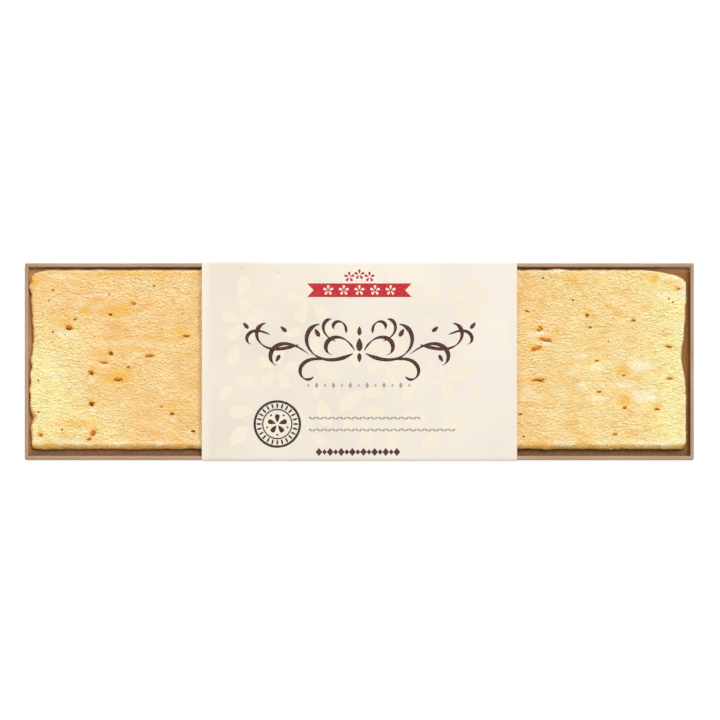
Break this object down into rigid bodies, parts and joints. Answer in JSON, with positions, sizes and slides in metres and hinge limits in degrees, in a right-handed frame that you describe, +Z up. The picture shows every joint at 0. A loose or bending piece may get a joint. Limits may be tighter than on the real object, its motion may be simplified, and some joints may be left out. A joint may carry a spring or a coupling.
{
  "type": "nougat block in a card tray",
  "caption": "Long flat block of soft nougat lying in an open card tray, with a card sleeve round the middle.",
  "frame": {"origin": "on the ground under the middle of the pack, which is the middle of the sleeve's underside", "axes": "+X along the block, +Y across it, +Z up out of the tray's open top"},
  "size_m": [0.225, 0.0668, 0.0181],
  "materials": {
    "nougat": "soft almond nougat: golden cream, fine grained, with open pores and amber specks",
    "kraft_card": "uncoated brown kraft card, folded",
    "cream_card": null
  },
  "bodies": {
    "root": {"nougat_block": "nougat", "tray": "kraft_card", "sleeve": "cream_card"}
  },
  "joints": []
}
